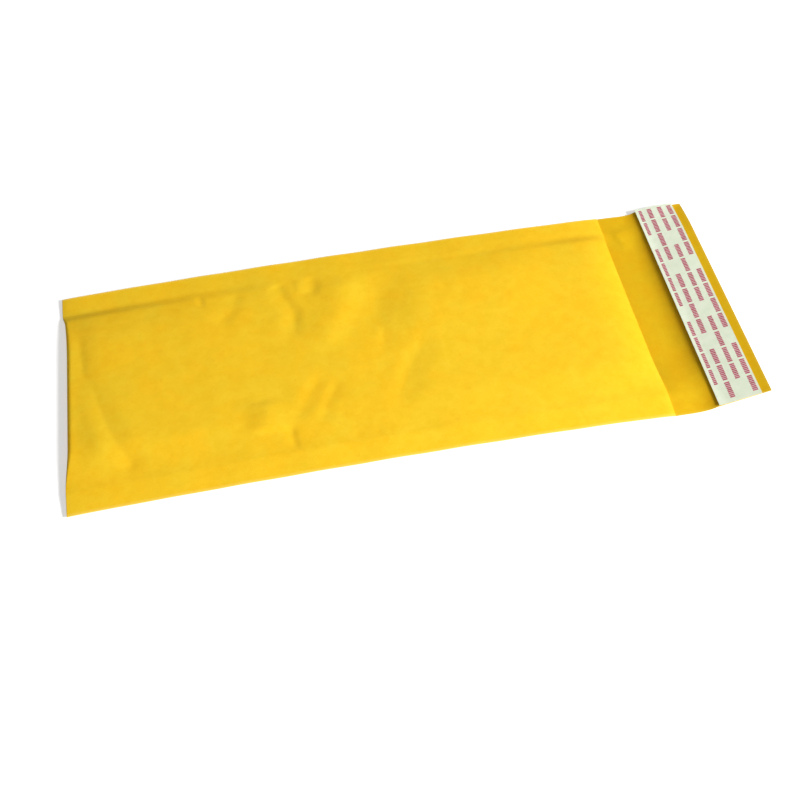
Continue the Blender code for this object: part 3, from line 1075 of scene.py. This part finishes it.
def bubbles():
    """The domes on the film: made flat by the node tree, then folded into the mailer."""
    rows = int((LINING_LENGTH - 2 * BUBBLE_RADIUS) / (BUBBLE_PITCH * ROW_RATIO)) + 1
    per_row = int((2 * LINING_HALF - 2 * BUBBLE_RADIUS) / BUBBLE_PITCH + ROW_SHIFT)
    data = run_tree(
        "bubbles",
        BUBBLE_FIELD,
        {
            "Rows": rows,
            "Bubbles per Row": per_row,
            "Pitch": BUBBLE_PITCH,
            "Radius": BUBBLE_RADIUS,
            "Height": FLAT_HEIGHT,
            "Seed": BUBBLE_SEED,
            "Material": FILM,
        },
    )
    places = np.array([tuple(point.co) for point in data.vertices])
    used = (per_row - 1 + ROW_SHIFT) * BUBBLE_PITCH
    run = places[:, 0] + BUBBLE_RADIUS
    y = places[:, 1] - used / 2
    depth = FILM_SHARE / 2 + places[:, 2] * (1 - FILM_SHARE / 2)
    folded = film_points(run, np.clip(y, -LINING_HALF, LINING_HALF), depth)
    data.vertices.foreach_set("co", folded.ravel())
    print(f"{rows} rows of {per_row} bubbles, {len(data.polygons)} faces")
    return data


def join(name, *meshes):
    """One mesh from several, with their faces pointing out."""
    work = bmesh.new()
    for data in meshes:
        work.from_mesh(data)
    bmesh.ops.recalc_face_normals(work, faces=work.faces)
    data = bpy.data.meshes.new(name)
    work.to_mesh(data)
    work.free()
    data.shade_smooth()
    return data


film = show("bubble_lining_film", join("bubble_lining_film", base_film(), bubbles()))
film.data.materials.clear()
film.data.materials.append(FILM)
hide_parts("bubble_lining")
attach(film, "root")

# %% [markdown]
# ## The adhesive and its liner
#
# A strip of sticky polymer runs across the flap under a silicone-coated paper, which keeps it clean
# until the flap is folded over. The liner is stiffer than the kraft paper. Its long edge on the mouth
# side stands up a little, so that a finger can get under it, and its far end stands out a little past
# the paper's edge.

# %% Strips on the flap
TAPE_GAP = 0.00005
TAPE_THICKNESS = 0.00020
LINER_GAP = 0.00028
LINER_THICKNESS = 0.00012
LINER_OVERHANG = 0.0008
LIP_LIFT = 0.00034
LIP_REACH = 0.0045
LIP_SETBACK = 0.0004
LINER_WAVE = 0.00008
LINER_WAVE_REACH = 0.0085
STRIP_STEP = 0.0009


def flap_strip(name, start, end, near_end, far_end, gap, thickness, lift):
    """A closed strip across the flap, at a gap over the flap's upper face."""
    inner = SIDE_STATIONS[(SIDE_STATIONS > near_end) & (SIDE_STATIONS < far_end)]
    runs = stations((start, end, STRIP_STEP))
    run, y = np.meshgrid(runs, [near_end, *inner, far_end], indexing="ij")
    base = flap_under(run, y) + PAPER + gap + lift(run, y)
    lower = np.stack([MOUTH_X + run, y, base], axis=-1)
    return show(name, closed_strip(name, lower, lower + thickness * UP))


def no_lift(run, y):
    """The adhesive lies flat on the flap."""
    return np.zeros_like(run)


def liner_lift(run, y):
    """How far the liner stands off: a raised lip on the mouth side and faint waves."""
    across = (run - MOUTH_TO_LINER) / LINER_WIDTH
    lip = LIP_LIFT * np.clip(1 - (run - MOUTH_TO_LINER) / LIP_REACH, 0.0, 1.0) ** 2
    waves = LINER_WAVE * (1 + np.sin(y / LINER_WAVE_REACH)) * np.sin(math.pi * across)
    return lip + waves


def liner_top(run, y):
    """The height of the liner's upper face."""
    return flap_under(run, y) + PAPER + LINER_GAP + LINER_THICKNESS + liner_lift(run, y)


tape = flap_strip(
    "adhesive_film",
    TAPE_START,
    TAPE_START + TAPE_WIDTH,
    tape_low.y,
    tape_high.y,
    TAPE_GAP,
    TAPE_THICKNESS,
    no_lift,
)
tape.data.materials.append(ADHESIVE)
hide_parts("adhesive_strip")
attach(tape, "root")

liner = flap_strip(
    "release_paper",
    MOUTH_TO_LINER + LIP_SETBACK,
    MOUTH_TO_LINER + LINER_WIDTH,
    -HALF_WIDTH,
    HALF_WIDTH + LINER_OVERHANG,
    LINER_GAP,
    LINER_THICKNESS,
    liner_lift,
)
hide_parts("release_liner")
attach(liner, "root")

# %% [markdown]
# ## Release paper
#
# The liner is a smooth pale paper with a touch of mint green and a thin silicone shine. It uses the
# same paper group with a weaker relief and no specks.

# %% The liner's material
MINT_DEEP = (0.72, 0.80, 0.61, 1.0)
MINT_LIGHT = (0.80, 0.86, 0.68, 1.0)
MINT_FIBRE = (0.86, 0.90, 0.76, 1.0)
LINER_ROUGHNESS = 0.55
LINER_SHINE = 0.20
LINER_RELIEF = (0.15, 0.00003)


def release_paper():
    """Smooth pale paper with a faint shine."""
    material, tree, shader = new_material("liner_paper")
    paper = paper_at(tree, object_place(tree))
    base = blend(tree, paper["Clouds"], MINT_DEEP, MINT_LIGHT)
    fibred = laid_over(tree, paper["Fibres"], FIBRE_SHARE, base, MINT_FIBRE)
    tree.links.new(fibred, shader.inputs["Base Color"])
    shader.inputs["Roughness"].default_value = LINER_ROUGHNESS
    shader.inputs["Specular IOR Level"].default_value = LINER_SHINE
    add_relief(tree, shader, paper["Height"], *LINER_RELIEF)
    return material


liner.data.materials.append(release_paper())
print(f"liner paper: roughness {LINER_ROUGHNESS}, shine {LINER_SHINE}")

# %% [markdown]
# ## Print on the liner
#
# The liner is printed from end to end in rows of small red marks. Here they are plain upright ticks in
# groups. A Geometry Nodes tree sets out one row, with a gap after each group and a longer one after each
# run of groups, and the function after it lays the row on the liner. Neighbouring rows start at
# different places in the run, so that their gaps don't line up.


# %% A node tree for one row of ticks
INK_THICKNESS = 0.00003
TICK_SWING = (0.92, 1.05)
# A tick has this many rows of points over its height, so that it bends with the liner
TICK_POINTS = 4
TICK_FACES = 4 * (TICK_POINTS - 1) + 2
# Ticks are counted in whole numbers, so a limit lies half a step before the first one left out
HALF_STEP = 0.5


def past(tree, place, count):
    """1 for a place that comes after so many ticks."""
    return maths(tree, "GREATER_THAN", place, maths(tree, "SUBTRACT", count, HALF_STEP))


def tick_points(tree, given):
    """Points along a line, without those in the gap after each group and after each run."""
    links = [("Count", given["Count"]), ("Offset", vector(tree, y=given["Pitch"]))]
    line = node(tree, "GeometryNodeMeshLine", links).outputs["Mesh"]
    index = node(tree, "GeometryNodeInputIndex").outputs["Index"]
    whole_run = maths(tree, "ADD", given["Per Run"], given["Run Gap"])
    group = maths(tree, "ADD", given["Per Group"], 1.0)
    in_run = maths(tree, "FLOORED_MODULO", maths(tree, "ADD", index, given["Phase"]), whole_run)
    in_group = maths(tree, "FLOORED_MODULO", in_run, group)
    after_run = past(tree, in_run, given["Per Run"])
    after_group = past(tree, in_group, given["Per Group"])
    left_out = maths(tree, "MAXIMUM", after_run, after_group)
    links = [("Geometry", line), ("Selection", left_out)]
    return node(tree, "GeometryNodeDeleteGeometry", links, domain="POINT").outputs["Geometry"]


def tick_tree():
    """Upright ticks along a line, with gaps after each group and each run."""
    tree, given, result = new_tree(
        "GeometryNodeTree",
        "tick_row",
        {
            "Count": "Int",
            "Pitch": "Float",
            "Per Group": "Float",
            "Per Run": "Float",
            "Run Gap": "Float",
            "Phase": "Float",
            "Tick Width": "Float",
            "Tick Height": "Float",
            "Seed": "Int",
            "Material": "Material",
        },
        {"Geometry": "Geometry"},
    )
    size = vector(tree, given["Tick Height"], given["Tick Width"], INK_THICKNESS)
    tick = node(tree, "GeometryNodeMeshCube", [("Size", size), ("Vertices X", TICK_POINTS)])
    scale = vector(tree, random_between(tree, *TICK_SWING, given["Seed"]), 1.0, 1.0)
    points = tick_points(tree, given)
    copy_on_points(tree, points, tick.outputs["Mesh"], scale, given["Material"], result)
    return tree


TICK_ROW = tick_tree()
print("tree:", TICK_ROW.name)

# %% The printed rows
# Distance from the liner's mouth-side edge, height of the ticks, and start within the run
PRINT_ROWS = (
    (0.0025, 0.0015, 21.0),
    (0.0067, 0.0021, 2.0),
    (0.0116, 0.0020, 21.0),
    (0.0161, 0.0021, 2.0),
)
TICK_PITCH = 0.00094
TICK_WIDTH = 0.00072
TICKS_PER_GROUP = 9.0
TICKS_PER_RUN = 39.0
TICKS_IN_RUN_GAP = 10.0
INK_DEEP = (0.40, 0.045, 0.100, 1.0)
INK_LIGHT = (0.54, 0.120, 0.200, 1.0)
INK_SCALE = 900.0
INK_ROUGHNESS = 0.6
INK_SHINE = 0.20


def red_ink():
    """Thin red ink, lighter in some places than in others."""
    material, tree, shader = new_material("red_ink")
    thin = ramp(tree, soft_noise(tree, object_place(tree), INK_SCALE), *NOISE_RANGE)
    tree.links.new(blend(tree, thin, INK_DEEP, INK_LIGHT), shader.inputs["Base Color"])
    shader.inputs["Roughness"].default_value = INK_ROUGHNESS
    shader.inputs["Specular IOR Level"].default_value = INK_SHINE
    return material


def printed_row(number, row, ink):
    """One row of ticks, laid on the liner."""
    from_edge, height, phase = row
    data = run_tree(
        f"tick_row_{number}",
        TICK_ROW,
        {
            "Count": int(WIDTH / TICK_PITCH) - 1,
            "Pitch": TICK_PITCH,
            "Per Group": TICKS_PER_GROUP,
            "Per Run": TICKS_PER_RUN,
            "Run Gap": TICKS_IN_RUN_GAP,
            "Phase": phase,
            "Tick Width": TICK_WIDTH,
            "Tick Height": height,
            "Seed": number,
            "Material": ink,
        },
    )
    places = np.array([tuple(point.co) for point in data.vertices])
    run = MOUTH_TO_LINER + from_edge + places[:, 0]
    y = HALF_WIDTH - TICK_PITCH - places[:, 1]
    z = liner_top(run, y) + places[:, 2]
    data.vertices.foreach_set("co", np.stack([MOUTH_X + run, y, z], axis=-1).ravel())
    print(f"row {number}: {len(data.polygons) // TICK_FACES} ticks")
    return data


ink = red_ink()
rows = [printed_row(i + 1, row, ink) for i, row in enumerate(PRINT_ROWS)]
print_marks = show("liner_print", join("liner_print", *rows))
print_marks.data.shade_flat()
print_marks.data.materials.clear()
print_marks.data.materials.append(ink)
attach(print_marks, "root")

# %% [markdown]
# ## Floor, lamp and sky
#
# A white floor carries the soft shadow. It glows for the camera and in reflections, less near the
# mailer than further off, so that it shows white without throwing more light on the paper. The lamp is
# a soft one beyond the mouth on the near side, which makes each dent show, and the sky fills the
# shadows.

# %% Stage and light
FLOOR_SIZE = 12.0
FLOOR_DROP = 0.0002
FLOOR_COLOUR = (0.80, 0.80, 0.80, 1.0)
FLOOR_GLOW = 0.48
GLOW_START = 0.22
GLOW_END = 0.80
WHITE = (1.0, 1.0, 1.0, 1.0)
SKY_STRENGTH = 0.24
LAMP_PLACE = Vector((1.24, -0.99, 0.98))
LAMP_SIZE = 0.37
LAMP_POWER = 53.0


def seen_rays(tree):
    """1 for the rays that show a thing to the camera, also in a reflection or through a film."""
    rays = node(tree, "ShaderNodeLightPath").outputs
    direct = maths(tree, "MAXIMUM", rays["Is Camera Ray"], rays["Is Glossy Ray"])
    return maths(tree, "MAXIMUM", direct, rays["Is Transmission Ray"])


def white_floor():
    """A white floor that shows white to the camera and keeps the shadow."""
    material, tree, shader = new_material("white_floor")
    shader.inputs["Base Color"].default_value = FLOOR_COLOUR
    shader.inputs["Roughness"].default_value = 1.0
    shader.inputs["Specular IOR Level"].default_value = 0.0
    shader.inputs["Emission Color"].default_value = WHITE
    away = node(tree, "ShaderNodeVectorMath", [(0, object_place(tree))], operation="LENGTH")
    glow = ramp(tree, away.outputs["Value"], GLOW_START, GLOW_END, FLOOR_GLOW, 1.0)
    strength = maths(tree, "MULTIPLY", seen_rays(tree), glow)
    tree.links.new(strength, shader.inputs["Emission Strength"])
    return material


def build_floor():
    """A wide plain floor just under the mailer."""
    half = FLOOR_SIZE / 2
    corners = [(-half, -half), (half, -half), (half, half), (-half, half)]
    data = bpy.data.meshes.new("floor")
    data.from_pydata([(x, y, -FLOOR_DROP) for x, y in corners], [], [(0, 1, 2, 3)])
    data.materials.append(white_floor())
    floor = show("floor", data)


def build_sky():
    """A white sky that lights evenly and shows white to the camera."""
    world = bpy.data.worlds.new("sky")
    world.use_nodes = True
    tree = world.node_tree
    light = tree.nodes["Background"]
    light.inputs["Color"].default_value = WHITE
    light.inputs["Strength"].default_value = SKY_STRENGTH
    shown = node(tree, "ShaderNodeBackground", [("Color", WHITE), ("Strength", 1.0)])
    links = [
        ("Fac", seen_rays(tree)),
        (1, light.outputs["Background"]),
        (2, shown.outputs["Background"]),
    ]
    mix = node(tree, "ShaderNodeMixShader", links)
    tree.links.new(mix.outputs["Shader"], tree.nodes["World Output"].inputs["Surface"])
    bpy.context.scene.world = world


def build_lamp(name, place, size, power):
    """A soft square lamp that looks at the middle of the mailer."""
    data = bpy.data.lights.new(name, "AREA")
    data.size = size
    data.energy = power
    lamp = bpy.data.objects.new(name, data)
    lamp.location = place
    lamp.rotation_mode = "QUATERNION"
    lamp.rotation_quaternion = (-place).to_track_quat("-Z", "Y")
    bpy.context.scene.collection.objects.link(lamp)


build_floor()
build_sky()
build_lamp("main_lamp", LAMP_PLACE, LAMP_SIZE, LAMP_POWER)
bpy.context.scene.view_settings.view_transform = "Standard"
print("floor, sky and lamp are in place")
